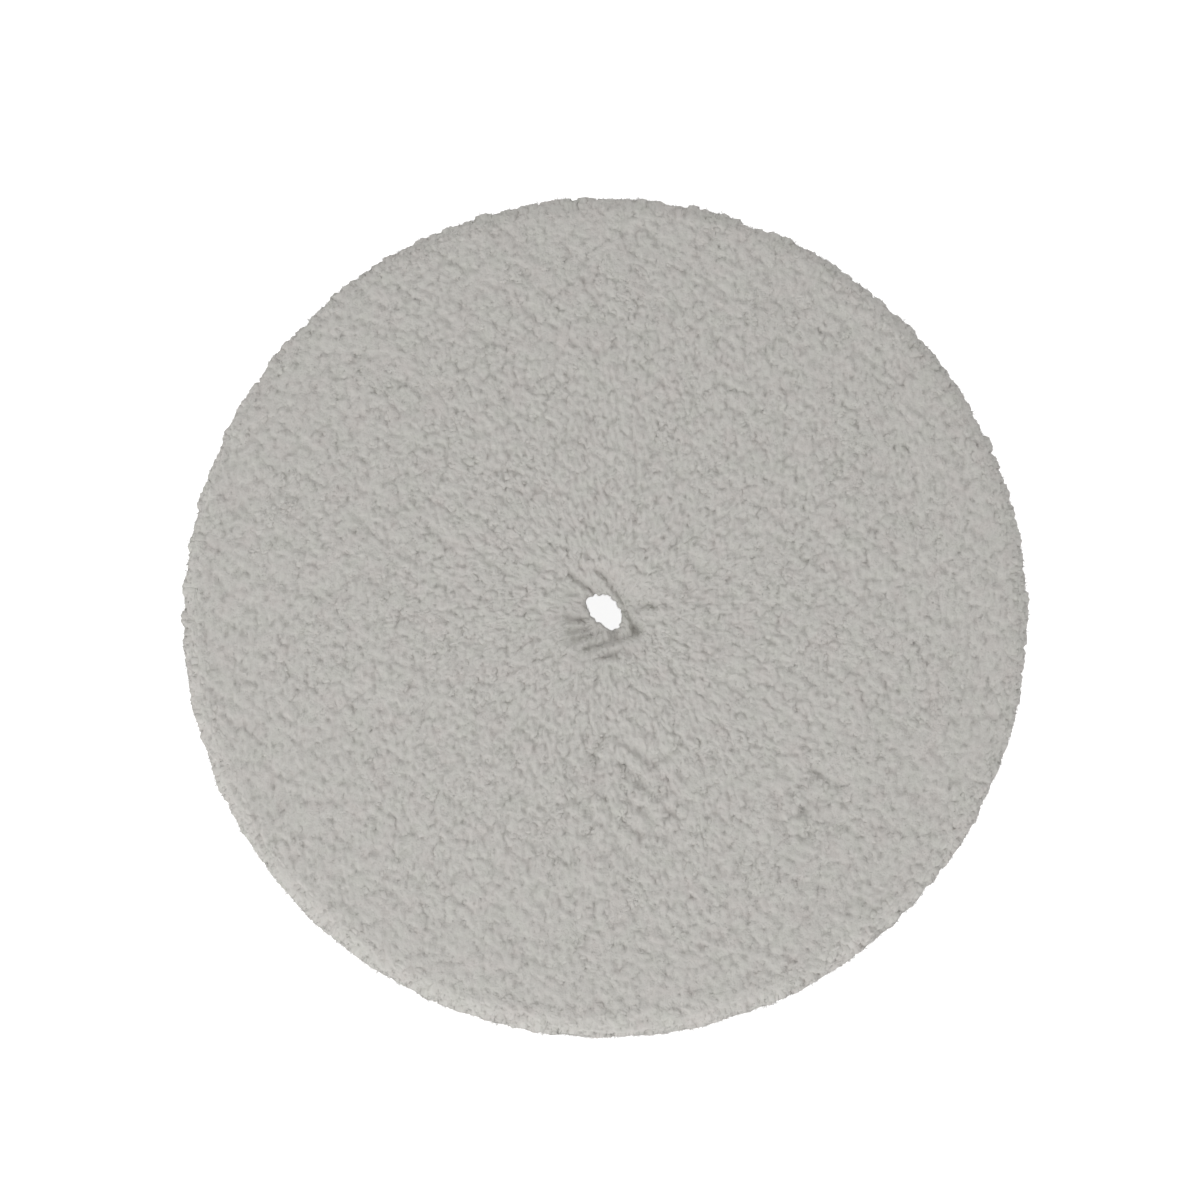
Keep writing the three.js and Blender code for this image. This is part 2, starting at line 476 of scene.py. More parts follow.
def layout():
    """Ply tips on the unrolled plane, as (tufts, plies, 2).

    A tuft's plies open out round its middle, or lie side by side as a strip where it lies by the hole.
    """
    rng = np.random.default_rng(11)
    middle = tuft_places(rng)
    turn = rng.uniform(0, TURN, (len(middle), 1)) + np.arange(PLIES) * TURN / PLIES
    turn += rng.normal(0, 0.25, turn.shape)
    opened = at(rng.uniform(0.8, 1.25, turn.shape), turn) * PLY_OPENING
    way = lying_way(middle)[:, None]
    across = np.stack([-way[..., 1], way[..., 0]], -1)
    place_in_strip = (np.arange(PLIES) - (PLIES - 1) / 2)[None, :, None] * STRIP_PITCH
    along_strip = rng.uniform(-1, 1, (*turn.shape, 1)) * STRIP_STRAY
    strip = across * place_in_strip + way * along_strip
    lying = lying_share(middle)[:, None]
    tips = middle[:, None] + opened * (1 - lying) + strip * lying
    return keep_out_of_opening(part_from_creases(tips), 0.3 * PLY_RADIUS)


def off_creases(points):
    """The shortest way to each place from the crease nearest to it, and how deep that crease is there."""
    start, along = CREASES[:, 0], CREASES[:, 1] - CREASES[:, 0]
    gap = points[..., None, :] - start
    share = np.clip((gap * along).sum(-1) / (along**2).sum(-1), 0, 1)
    off = gap - share[..., None] * along
    distance = np.linalg.norm(off, axis=-1)
    nearest = distance.argmin(-1)[..., None]
    off = np.take_along_axis(off, nearest[..., None], -2)[..., 0, :]
    distance = np.take_along_axis(distance, nearest, -1)[..., 0]
    return off, 1 - smoothstep(distance, 0, CREASE_REACH)


def part_from_creases(points):
    """Moves places off the creases, to either side."""
    off, depth = off_creases(points)
    return points + unit(off) * (0.6 * CREASE_REACH * depth)[..., None]


def disturbance(points):
    """How parted the pile is, from 0 to 1, at places on the face."""
    total = np.zeros(points.shape[:-1])
    for middle, reach in PARTED_PATCHES:
        away = np.linalg.norm(points / MM - middle, axis=-1)
        total = np.maximum(total, 1 - smoothstep(away, 0.4 * reach, 1.3 * reach))
    return total


def lean(points):
    """How far, and which way, the pile leans at a place on the face, over its LEANING_HEIGHT."""
    flat = points.reshape(-1, 2)
    stirred = disturbance(flat)[:, None]
    broad = np.stack([waves(flat, BROAD_WAVELENGTH, seed) for seed in (1, 2)], -1)
    clumps = np.stack([waves(flat, CLUMP_WAVELENGTH, seed) for seed in (3, 4)], -1)
    move = broad * BROAD_LEAN + clumps * (CLUMP_LEAN + PARTED_LEAN * stirred)
    move[:, 1] += NAP * LEANING_HEIGHT
    on_face = 1 - smoothstep(np.linalg.norm(flat, axis=-1), TOP_FLAT - 14 * MM, TOP_FLAT)
    return (move * on_face[:, None]).reshape(points.shape)


def root_distance(s, angle):
    """How far from the axis the yarn stands that ends at length s along the profile."""
    gathered = opening_radius(angle)
    innermost = HOLE_RADIUS + ROOT_MARGIN
    inner = innermost + (CONVERGE_END - innermost) * (s - gathered) / (CONVERGE_END - gathered)
    outermost = CLOTH_RADIUS - ROOT_MARGIN
    outer = FAN_START + (outermost - FAN_START) * (s - FAN_START) / (PROFILE_END - FAN_START)
    return np.where(s < CONVERGE_END, inner, np.where(s < FAN_START, s, outer))


def outside(points, sink):
    """Where a place on the unrolled plane is, the way out of the pile there, and the way down its side.

    sink is how far below the pile's outside to go.
    """
    s = np.linalg.norm(points, axis=-1)
    flat = points / s[..., None]
    radius, height, tilt = profile(s)
    normal = raised(flat * np.sin(tilt)[..., None], np.cos(tilt))
    down = raised(flat * np.cos(tilt)[..., None], -np.sin(tilt))
    place = raised(flat * radius[..., None], height)
    return place - normal * sink[..., None], normal, down


def surface_sink(points):
    """How far below the pile's outline it lies: a dimple, pits and creases by the hole, and parted pile."""
    flat = points.reshape(-1, 2)
    s = np.linalg.norm(flat, axis=-1)
    dimple = DIMPLE_DEPTH * (1 - smoothstep(s, DIMPLE_START, LYING_END)) ** 1.5
    rolling = ROLLING_DEPTH * (1 + 0.6 * waves(flat, ROLLING_WAVELENGTH, 5))
    parted = disturbance(flat) * PARTED_DEPTH * (1 + waves(flat, PARTED_WAVELENGTH, 6))
    pit = np.zeros(len(flat))
    for place, reach in PITS:
        away = np.linalg.norm(flat / MM - place, axis=-1)
        pit = np.maximum(pit, PIT_DEPTH * (1 - smoothstep(away, 0.3 * reach, reach)))
    _, crease = off_creases(flat)
    total = dimple + pit + CREASE_DEPTH * crease + np.maximum(rolling, 0) + np.maximum(parted, 0)
    return total.reshape(points.shape[:-1])


def bezier(points, t):
    """Places at the shares t along cubic curves, which are given by their four points."""
    a, b, c, d = (p[:, None] for p in points)
    u = t[None, :, None]
    return a * (1 - u) ** 3 + 3 * b * u * (1 - u) ** 2 + 3 * c * u**2 * (1 - u) + d * u**3


def ply_ends(tips, rng):
    """Where each ply is cut off, the way out of the pile there, and the way down its side."""
    s = np.linalg.norm(tips.mean(1), axis=-1)
    at_edge = smoothstep(s[:, None], TOP_FLAT, SIDE_START)
    uneven = FACE_TUFT_UNEVEN + (SIDE_TUFT_UNEVEN - FACE_TUFT_UNEVEN) * at_edge
    jitter = np.abs(rng.normal(0, 1, (len(tips), 1))) * uneven
    jitter = jitter + np.abs(rng.normal(0, PLY_UNEVEN, tips.shape[:2]))
    at_side = smoothstep(s, SIDE_START - SIDE_BLEND, SIDE_START)
    ply_sink = FACE_PLY_SINK + (SIDE_PLY_SINK - FACE_PLY_SINK) * at_side
    return outside(tips, surface_sink(tips) + jitter + ply_sink[:, None])


def tuft_ways(tips, normal, down, push):
    """The way each tuft points at its cut end: out of the pile, leaning, hanging or lying down."""
    middle = tips.mean(1)
    s = np.linalg.norm(middle, axis=-1)
    hanging = DROOP * smoothstep(s, TOP_FLAT - 2 * MM, SIDE_START)[:, None]
    out = unit(unit(normal.mean(1)) + hanging * down.mean(1))
    lie = LYING_SLOPE * lying_share(middle) * raised(lying_way(middle), 0)
    return unit(out + push / LEANING_HEIGHT + lie)


def tuft_axes(tips, ends, normal, down, rings):
    """The middle line of each tuft, from the cloth to its cut end, and its length."""
    middle = tips.mean(1)
    s = np.linalg.norm(middle, axis=-1)
    across = middle / s[:, None]
    angle = np.arctan2(middle[:, 1], middle[:, 0])
    push = raised(lean(middle), 0)
    way = tuft_ways(tips, normal, down, push)
    end = ends.mean(1)
    root = raised(root_distance(s, angle)[:, None] * across - ROOT_BACK * push[:, :2], CLOTH_TOP)
    length = np.linalg.norm(end - root, axis=-1, keepdims=True)
    flare = FLARE * smoothstep(s, TOP_FLAT, PROFILE_END)[:, None] * across
    up = unit(raised(flare, 1))
    tip_stretch = length * (TIP_STRETCH + (LYING_TIP_STRETCH - TIP_STRETCH) * lying_share(middle))
    return bezier((root, root + up * length * ROOT_STRETCH, end - way * tip_stretch, end), rings), length


def ply_twist(axis, length, rings, rng):
    """How far each ply stands off its tuft's middle line where the plies are twisted together."""
    first = np.broadcast_to(np.array([1.0, 0, 0]), axis[:, 0].shape)
    _, side_a, side_b = frames_along(axis, first)
    start = rng.uniform(0, TURN, (len(axis), 1)) + np.arange(PLIES) * TURN / PLIES
    turn = start[:, :, None] + TURN * YARN_TWISTS * rings * (length[:, :, None] / TWIST_LENGTH)
    round_axis = np.cos(turn)[..., None] * side_a[:, None] + np.sin(turn)[..., None] * side_b[:, None]
    return YARN_RADIUS * round_axis


def with_tips(paths, radii, lying):
    """The same plies, with the rings of a rounded tip added to each."""
    ahead = unit(paths[:, :, -1] - paths[:, :, -2])
    width = radii[:, :, -1]
    reach = width * (1 + LYING_SHARPER * lying)
    places = [paths[:, :, -1] + ahead * (reach * height)[..., None] for height, _ in TIP_RINGS]
    widths = [width * share for _, share in TIP_RINGS]
    return np.concatenate([paths, np.stack(places, 2)], 2), np.concatenate([radii, np.stack(widths, 2)], 2)


def ply_paths(tips, rings, rng):
    """Middle lines (plies, rings, 3) and radii (plies, rings) of the plies of every tuft given."""
    ends, normal, down = ply_ends(tips, rng)
    axis, length = tuft_axes(tips, ends, normal, down, rings)
    opened = smoothstep(rings, *OPENING_SHARES)[:, None]
    own = (ends - ends.mean(1, keepdims=True))[:, :, None]
    paths = axis[:, None] + ply_twist(axis, length, rings, rng) * (1 - opened) + own * opened

    lying = lying_share(tips.mean(1))
    size = rng.uniform(*PLY_SIZES, (len(tips), PLIES, 1)) * (1 - LYING_THINNER * lying[:, None])
    swell = STEM_RADIUS + (PLY_RADIUS - STEM_RADIUS) * smoothstep(rings, *SWELLING_SHARES)
    paths, radii = with_tips(paths, swell * size, lying)
    count = len(tips) * PLIES
    return paths.reshape(count, -1, 3), radii.reshape(count, -1)


def fibre_paths(paths, radii, rng):
    """Middle lines and radii of the loose fibres that fray out of the cut end of each ply."""
    last = -1 - len(TIP_RINGS)
    end = np.repeat(paths[:, last], FIBRES_PER_PLY, 0)
    ahead = np.repeat(unit(paths[:, last] - paths[:, last - 1]), FIBRES_PER_PLY, 0)
    size = np.repeat(radii[:, last], FIBRES_PER_PLY)[:, None]
    count = len(end)
    aside = rng.normal(0, 1, (count, 3))
    aside = unit(aside - (aside * ahead).sum(-1, keepdims=True) * ahead)
    out = np.sqrt(rng.uniform(0.05, 1, (count, 1)))
    root = end + aside * size * 0.8 * out - ahead * size * rng.uniform(0.2, 1.0, (count, 1))
    spread_out = aside * out * rng.uniform(*FIBRE_SPREAD, (count, 1))
    way = unit(ahead + spread_out + rng.normal(0, 0.25, (count, 3)))
    at_edge = smoothstep(np.linalg.norm(root[:, :2], axis=-1, keepdims=True), TOP_FLAT, PAD_RADIUS)
    length = size * rng.uniform(*FIBRE_LENGTHS, (count, 1)) * (1 + 0.3 * at_edge)
    curl = unit(rng.normal(0, 1, (count, 3)))
    middle = root + unit(ahead + way) * length * 0.5
    tip = middle + unit(way + FIBRE_CURL * curl - 0.4 * at_edge * ahead) * length * 0.5
    width = FIBRE_RADIUS * rng.uniform(0.7, 1.3, (count, 1)) * FIBRE_TAPER
    return np.stack([root, middle, tip], 1), width


def add_grain(obj, tint, grain):
    """Gives each vertex its strand's tint, and its place in the strand's grain."""
    attributes = obj.data.attributes
    attributes.new("tint", "FLOAT", "POINT").data.foreach_set("value", tint.astype(np.float32))
    places = grain.reshape(-1).astype(np.float32)
    attributes.new("grain", "FLOAT_VECTOR", "POINT").data.foreach_set("vector", places)


def tube_piece(name, paths, radii, sides, rng, roughness):
    """Tubes with a tint each, and for their grain a place along and round each tube."""
    first = raised(at(1, rng.uniform(0, TURN, len(paths))), 0)
    roughen = rng.uniform(1 - roughness, 1 + roughness, (*radii.shape, sides))
    obj = tube_mesh(name, paths, radii, sides, first, roughen)
    steps = np.linalg.norm(np.diff(paths, axis=1), axis=-1)
    along = np.concatenate([np.zeros((len(paths), 1)), np.cumsum(steps, 1)], 1) / GRAIN_LENGTH
    around = at(1, np.arange(sides) * TURN / sides)
    body = raised(np.broadcast_to(around, (*along[:, :-1].shape, sides, 2)), along[:, :-1, None])
    ends = np.stack([along[:, 0], along[:, -1]], -1)[..., None] * (0, 0, 1)
    grain = np.concatenate([body.reshape(len(paths), -1, 3), ends], 1)
    grain += rng.uniform(0, 100, (len(paths), 1, 3))
    tint = np.repeat(rng.uniform(0, 1, len(paths)), grain.shape[1])
    add_grain(obj, tint, grain)
    return obj


def wool_piece(name, tips, rings, sides, seed):
    """Tufts of wool: a tube for each ply and a thin one for each loose fibre."""
    rng = np.random.default_rng(seed)
    paths, radii = ply_paths(tips, rings, rng)
    plies = tube_piece(name, paths, radii, sides, rng, 0.14)
    fibres = tube_piece(name + "_fibres", *fibre_paths(paths, radii, rng), 3, rng, 0.1)
    return plies, fibres


def nubs(points, centres, reach):
    """How far places have fallen from the nub they lie on: 0 at its centre, about 1 in the creases."""
    tree = tree_of(centres)
    away = np.array([tree.find((x, y, 0))[2] for x, y in points])
    return np.minimum(away / reach, 1.3) ** 2


def matting_lumps(flat, tips):
    """How far the matted skin falls away between its swells and its nubs."""
    lumps = np.zeros(len(flat))
    for i, (wavelength, height) in enumerate(MATTING_SWELLS):
        lumps += height * MM * waves(flat * NUB_STRETCH, wavelength * MM, 21 + i, SWELL_RIPPLES)
    wander = [waves(flat, NUB_WANDER_WAVELENGTH, 41 + i) for i in range(2)]
    moved = flat + NUB_WANDER * np.stack(wander, -1)
    lumps += TUFT_NUB * nubs(moved * NUB_STRETCH, tips.mean(1) * NUB_STRETCH, TUFT_NUB_REACH)
    lumps += PLY_NUB * nubs(moved, tips.reshape(-1, 2), PLY_NUB_REACH)
    return lumps - NUB_MEAN


def matting_sink(points, tips):
    """How far below the pile's outline its matted skin lies, with a nub over each tuft and ply."""
    s = np.linalg.norm(points, axis=-1)
    lumps = matting_lumps(points.reshape(-1, 2), tips).reshape(s.shape)
    into_wool = s - opening_radius(np.arctan2(points[..., 1], points[..., 0]))
    lip = LIP_ROUND * (1 - smoothstep(into_wool, -0.5 * LIP_ROUND, LIP_ROUND)) ** 2
    side = SIDE_SINK * smoothstep(s, SIDE_START - SIDE_BLEND, SIDE_START + 0.5 * SIDE_BLEND)
    return surface_sink(points) + lumps + lip + side


def matting(tips):
    """The matted wool, closed: over the face and down the side, and below along the cloth and the neck."""
    angle = np.arange(MATTING_COLUMNS) * TURN / MATTING_COLUMNS
    opening = opening_radius(angle)
    last = PROFILE_END - MATTING_MARGIN
    share = np.linspace(0, 1, 1 + round(last / MATTING_STEP))[:, None]
    points = at(opening + (last - opening) * share, angle)
    skin = outside(points, matting_sink(points, tips))[0]
    closing = (
        (CLOTH_RADIUS - MATTING_MARGIN, CLOTH_TOP),
        (HOLE_RADIUS + NECK_GAP, CLOTH_TOP),
        (opening + NECK_WALL, FACE_Z - NECK_DEPTH),
    )
    below = [raised(at(np.broadcast_to(radius, angle.shape), angle), height) for radius, height in closing]
    rows = np.stack([*skin, *below])
    facing_out = ring_quads(len(rows), MATTING_COLUMNS)[:, [0, 3, 2, 1]]
    places = rows.reshape(-1, 3)
    obj = mesh_object("wool_matting", places, facing_out, flat_from=(len(skin) - 1) * MATTING_COLUMNS)
    add_grain(obj, np.full(len(places), 0.5), places / MATTING_GRAIN)
    return obj


# ---- The backing ----


def rounded(outline, radius, steps=4):
    """A closed outline with each corner rounded."""
    points = np.array(outline, float)
    result = []
    for before, corner, after in zip(np.roll(points, 1, 0), points, np.roll(points, -1, 0)):
        into, out = before - corner, after - corner
        reach = min(radius, 0.45 * np.linalg.norm(into), 0.45 * np.linalg.norm(out))
        start, end = corner + unit(into) * reach, corner + unit(out) * reach
        for t in np.linspace(0, 1, steps):
            result.append(start * (1 - t) ** 2 + 2 * corner * t * (1 - t) + end * t**2)
    return np.array(result)


def turned(name, outline, ragged=0, seed=0):
    """A closed outline of (radius, height) turned about the Z axis. It runs outwards below.

    ragged is how far the outline wanders in and out on the way round, as a cut or poured edge does.
    """
    angle = np.arange(TURNED_COLUMNS) * TURN / TURNED_COLUMNS
    wander = ragged * waves(at(PAD_RADIUS, angle), RAGGED_WAVELENGTH, seed)
    rows = raised(at(outline[:, 0, None] + wander, angle), outline[:, 1, None])
    obj = mesh_object(name, rows.reshape(-1, 3), ring_quads(len(outline), TURNED_COLUMNS))
    obj.data.set_sharp_from_angle(angle=SMOOTH_ANGLE)
    return obj


def layer(node, name, low_z):
    """A flat ring in place of a CAD layer, from low_z up to its top, with its edges rounded."""
    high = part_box(node)[1]
    inner = INNER_RADII[node]
    corner, ragged, seed = EDGES[node]
    corners = [(inner, low_z), (high.x, low_z), (high.x, high.z), (inner, high.z)]
    return turned(name, rounded(corners, corner), ragged, seed)


def whole_layer(node):
    return layer(node, node + "_layer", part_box(node)[0].z)


def backing_disc():
    """The moulded disc: seam grooves below, a bevelled rim, and a parting line round its edge."""
    low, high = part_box("backing_disc")
    inner, outer = INNER_RADII["backing_disc"], high.x
    floor = low.z + GROOVE_DEPTH
    outline = [(inner, low.z)]
    for seam in SEAM_RADII.values():
        outline += [(seam - GROOVE_HALF, low.z), (seam - GROOVE_HALF, floor)]
        outline += [(seam + GROOVE_HALF, floor), (seam + GROOVE_HALF, low.z)]
    rim_width, rim_height = DISC_RIM
    parting = low.z + PARTING_SHARE * (high.z - low.z)
    outline += [(outer - rim_width, low.z), (outer, low.z + rim_height), (outer, parting - PARTING_HALF)]
    outline += [(outer - PARTING_DEPTH, parting), (outer, parting + PARTING_HALF)]
    outline += [(outer, high.z), (inner, high.z)]
    return turned("backing_disc_moulded", rounded(outline, DISC_CORNER))


def closing_at_end(radius, rings):
    """One radius along a tube, but 0 at its last ring."""
    return radius * np.array([1] * (rings - 1) + [0])


def facing_loops():
    """The loops of the facing, which hang from its cloth and lie every way."""
    rng = np.random.default_rng(7)
    low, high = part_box("loop_facing")
    innermost = INNER_RADII["loop_facing"] + LOOP_MARGIN
    outermost = high.x - LOOP_MARGIN
    order = (np.arange(FACING_LOOPS) + 0.5) / FACING_LOOPS
    distance = np.sqrt(innermost**2 + order * (outermost**2 - innermost**2))
    foot = at(distance, np.arange(FACING_LOOPS) * GOLDEN_TURN)
    foot = foot + rng.normal(0, LOOP_STRAY, foot.shape)
    way = at(1, rng.uniform(0, TURN, FACING_LOOPS))
    across = np.stack([-way[:, 1], way[:, 0]], -1)
    t = np.linspace(0, 1, LOOP_RINGS)
    span = rng.uniform(*LOOP_SPANS, FACING_LOOPS)[:, None]
    bend = rng.normal(0, LOOP_BEND, FACING_LOOPS)[:, None]
    drop = rng.uniform(0.75, 1, FACING_LOOPS)[:, None] * LOOP_DROP
    level = foot[:, None] - way[:, None] * (span * np.cos(math.pi * t))[..., None]
    level = level + across[:, None] * (bend * np.sin(math.pi * t))[..., None]
    height = low.z + 1.2 * LOOP_RADIUS + LOOP_DROP - drop * np.sin(math.pi * t) ** 0.6
    radii = np.broadcast_to(closing_at_end(LOOP_RADIUS, LOOP_RINGS), height.shape)
    return tube_piece("loop_facing_loops", raised(level, height), radii, 3, rng, 0.15)


def facing_cloth():
    """The cloth that the facing's loops stand on."""
    return layer("loop_facing", "loop_facing_cloth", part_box("loop_facing")[0].z + LOOP_DROP)


def seam_thread(node, radius, surface, side):
    """A ring of lock stitches, each of plies twisted together, dipping into the layers at its ends."""
    rng = np.random.default_rng(5)
    stitches = round(TURN * radius / STITCH_LENGTH)
    t = np.linspace(0, 1, STITCH_RINGS)
    angle = (np.arange(stitches)[:, None] + t) * TURN / stitches
    lift = side * THREAD_RADIUS * (1 - STITCH_DIP * (1 - np.sin(math.pi * t) ** 0.35))
    middle = raised(at(radius, angle), surface + lift)
    _, side_a, side_b = frames_along(middle, raised(at(1, angle[:, 0]), 0))
    paths = []
    for ply in range(THREAD_PLIES):
        turn = TURN * (ply / THREAD_PLIES + THREAD_TWISTS * t)[None, :, None]
        paths.append(middle + 0.5 * THREAD_RADIUS * (np.cos(turn) * side_a + np.sin(turn) * side_b))
    paths = np.concatenate(paths)
    radii = np.broadcast_to(closing_at_end(THREAD_PLY_RADIUS, STITCH_RINGS), paths.shape[:2])
    return tube_piece(node + "_stitches", paths, radii, 6, rng, 0.04)


# ---- Materials ----


def new_material(name):
    material = bpy.data.materials.new(name)
    material.use_nodes = True
    nodes = material.node_tree.nodes
    return material, nodes, material.node_tree.links, nodes["Principled BSDF"]


def noise(nodes, links, vector, scale, detail=3):
    """A noise texture's value, over the coordinates given."""
    texture = nodes.new("ShaderNodeTexNoise")
    texture.inputs["Scale"].default_value = scale
    texture.inputs["Detail"].default_value = detail
    links.new(vector, texture.inputs["Vector"])
    return texture.outputs["Fac"]


def attribute(nodes, name, output):
    """What the mesh carries at each vertex under a name."""
    node = nodes.new("ShaderNodeAttribute")
    node.attribute_name = name
    return node.outputs[output]


def own_place(nodes):
    """Places in the piece's own space, in metres."""
    return nodes.new("ShaderNodeTexCoord").outputs["Object"]


def grey(value):
    return (value, value, value)


def ramp(nodes, links, value, *stops):
    """Colours by a value. Each stop is (value, (red, green, blue))."""
    node = nodes.new("ShaderNodeValToRGB")
    elements = node.color_ramp.elements
    for element, (position, colour) in zip(elements, (stops[0], stops[-1])):
        element.position = position
        element.color = (*colour, 1)
    for position, colour in stops[1:-1]:
        elements.new(position).color = (*colour, 1)
    links.new(value, node.inputs["Fac"])
    return node.outputs["Color"]


def mottled(nodes, links, value, colour, share, low=0.3, high=0.7):
    """A colour, darker by a share where the value is low."""
    darker = tuple(c * (1 - share) for c in colour)
    return ramp(nodes, links, value, (low, darker), (high, colour))


def multiply(nodes, links, first, second):
    node = nodes.new("ShaderNodeMix")
    node.data_type = "RGBA"
    node.blend_type = "MULTIPLY"
    node.inputs["Factor"].default_value = 1
    links.new(first, node.inputs[6])
    links.new(second, node.inputs[7])
    return node.outputs[2]


def add_bump(nodes, links, shader, height, distance):
    bump = nodes.new("ShaderNodeBump")
    bump.inputs["Distance"].default_value = distance
    bump.inputs["Strength"].default_value = 1
    links.new(height, bump.inputs["Height"])
    links.new(bump.outputs["Normal"], shader.inputs["Normal"])


def wool_material():
    """Natural wool: each yarn a little lighter or darker, streaked along its fibres, in faint blotches."""
    material, nodes, links, shader = new_material("wool")
    shader.inputs["Specular IOR Level"].default_value = 0.2
    shader.inputs["Sheen Weight"].default_value = 0.15
    shader.inputs["Sheen Roughness"].default_value = 0.6
    darkest, lightest = WOOL_YARNS
    yarn = ramp(nodes, links, attribute(nodes, "tint", "Fac"), (0, darkest), (1, lightest))
    streaks = noise(nodes, links, attribute(nodes, "grain", "Vector"), 2.6)
    streak = ramp(nodes, links, streaks, (0.3, (0.94, 0.94, 0.93)), (0.7, WHITE))
    clouds = noise(nodes, links, own_place(nodes), 160)
    greenish, reddish = (0.985, 1, 0.985), (1, 0.98, 0.985)
    blotch = ramp(nodes, links, clouds, (0.3, greenish), (0.5, WHITE), (0.7, reddish))
    colour = multiply(nodes, links, multiply(nodes, links, yarn, streak), blotch)
    links.new(colour, shader.inputs["Base Color"])
    links.new(ramp(nodes, links, streaks, (0, grey(0.85)), (1, WHITE)), shader.inputs["Roughness"])
    add_bump(nodes, links, shader, streaks, 0.25 * MM)
    return material


def plain_material(name, colour, roughness):
    material, nodes, links, shader = new_material(name)
    shader.inputs["Roughness"].default_value = roughness
    shader.inputs["Base Color"].default_value = (*colour, 1)
    return material, nodes, links, shader


def thread_material():
    """Bonded sewing thread, streaked along its filaments."""
    material, nodes, links, shader = plain_material("thread", THREAD_COLOUR, 0.6)
    shader.inputs["Sheen Weight"].default_value = 0.2
    streaks = noise(nodes, links, attribute(nodes, "grain", "Vector"), 3)
    links.new(mottled(nodes, links, streaks, THREAD_COLOUR, 0.12), shader.inputs["Base Color"])
    add_bump(nodes, links, shader, streaks, 0.06 * MM)
    return material


def loop_material():
    """Brushed nylon: a fine fleece over the cloth, and a little sheen."""
    material, nodes, links, shader = plain_material("loop", LOOP_COLOUR, 0.85)
    shader.inputs["Sheen Weight"].default_value = 0.35
    shader.inputs["Sheen Roughness"].default_value = 0.5
    place = own_place(nodes)
    fleece = noise(nodes, links, place, 2400, 4)
    shade = mottled(nodes, links, fleece, LOOP_COLOUR, 0.15, 0.35, 0.65)
    patches = ramp(nodes, links, noise(nodes, links, place, 60), (0.3, grey(0.95)), (0.7, WHITE))
    links.new(multiply(nodes, links, shade, patches), shader.inputs["Base Color"])
    add_bump(nodes, links, shader, fleece, 0.2 * MM)
    return material


def film_material():
    """Dried contact adhesive: glossier and more yellow, mottled where it was spread."""
    material, nodes, links, shader = plain_material("film", FILM_COLOUR, 0.35)
    smears = noise(nodes, links, own_place(nodes), 300)
    links.new(mottled(nodes, links, smears, FILM_COLOUR, 0.15), shader.inputs["Base Color"])
    add_bump(nodes, links, shader, smears, 0.05 * MM)
    return material


def disc_material():
    """Moulded polyurethane: satin, with a fine grain, and pores here and there, darkened inside with painted
    shade.
    """
    material, nodes, links, shader = plain_material("disc", DISC_COLOUR, 0.5)
    place = own_place(nodes)
    grain = noise(nodes, links, place, 1800, 2)
    colour = mottled(nodes, links, noise(nodes, links, place, 45), DISC_COLOUR, 0.07)
    pores = nodes.new("ShaderNodeTexVoronoi")
    pores.inputs["Scale"].default_value = 420
    links.new(place, pores.inputs["Vector"])
    # Darker in each pore: painted shade in its pit. The same value also sinks the pit in the bump.
    pit_shade_and_depth = ramp(nodes, links, pores.outputs["Distance"], (0.05, PAINTED_PORE_SHADE), (0.14, WHITE))
    links.new(multiply(nodes, links, colour, pit_shade_and_depth), shader.inputs["Base Color"])
    links.new(ramp(nodes, links, grain, (0, grey(0.4)), (1, grey(0.62))), shader.inputs["Roughness"])
    add_bump(nodes, links, shader, multiply(nodes, links, grain, pit_shade_and_depth), 0.05 * MM)
    return material


def binder_material():
    """Dried latex: amber where it is thicker, with soft runs."""
    material, nodes, links, shader = plain_material("binder", BINDER_COLOUR, 0.6)
    runs = noise(nodes, links, own_place(nodes), 260)
    thick, thin = BINDER_RUNS
    links.new(ramp(nodes, links, runs, (0.3, thick), (0.7, thin)), shader.inputs["Base Color"])
    add_bump(nodes, links, shader, runs, 0.25 * MM)
    return material


def weave(nodes, links, place, direction):
    """Threads side by side in one direction, as a value that rises to the middle of each."""
    wave = nodes.new("ShaderNodeTexWave")
    wave.bands_direction = direction
    wave.inputs["Scale"].default_value = TURN / (20 * CLOTH_PITCH)
    wave.inputs["Distortion"].default_value = 0.6
    links.new(place, wave.inputs["Vector"])
    return wave.outputs["Color"]


def cloth_material():
    """Plain woven ground cloth, unbleached, with painted shade in the gaps between its threads."""
    material, nodes, links, shader = plain_material("cloth", CLOTH_COLOUR, 0.95)
    place = own_place(nodes)
    threads = multiply(nodes, links, weave(nodes, links, place, "X"), weave(nodes, links, place, "Y"))
    slubs = ramp(nodes, links, noise(nodes, links, place, 500), (0.3, grey(0.85)), (0.7, WHITE))
    # The colour between the threads is painted shade; on the threads it is the cloth's own.
    painted_gap_shade, crowns = CLOTH_GAP_SHADE_AND_THREADS
    colour = ramp(nodes, links, threads, (0, painted_gap_shade), (0.5, crowns))
    links.new(multiply(nodes, links, colour, slubs), shader.inputs["Base Color"])
    add_bump(nodes, links, shader, threads, 0.25 * MM)
    return material


# ---- Pieces ----


def add_piece(obj, material, node):
    """Gives a piece its material, hangs it from the root, and hides the CAD node it stands for."""
    obj.data.materials.clear()
    obj.data.materials.append(material)
    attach(obj, "root")
    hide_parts(node)
    return obj


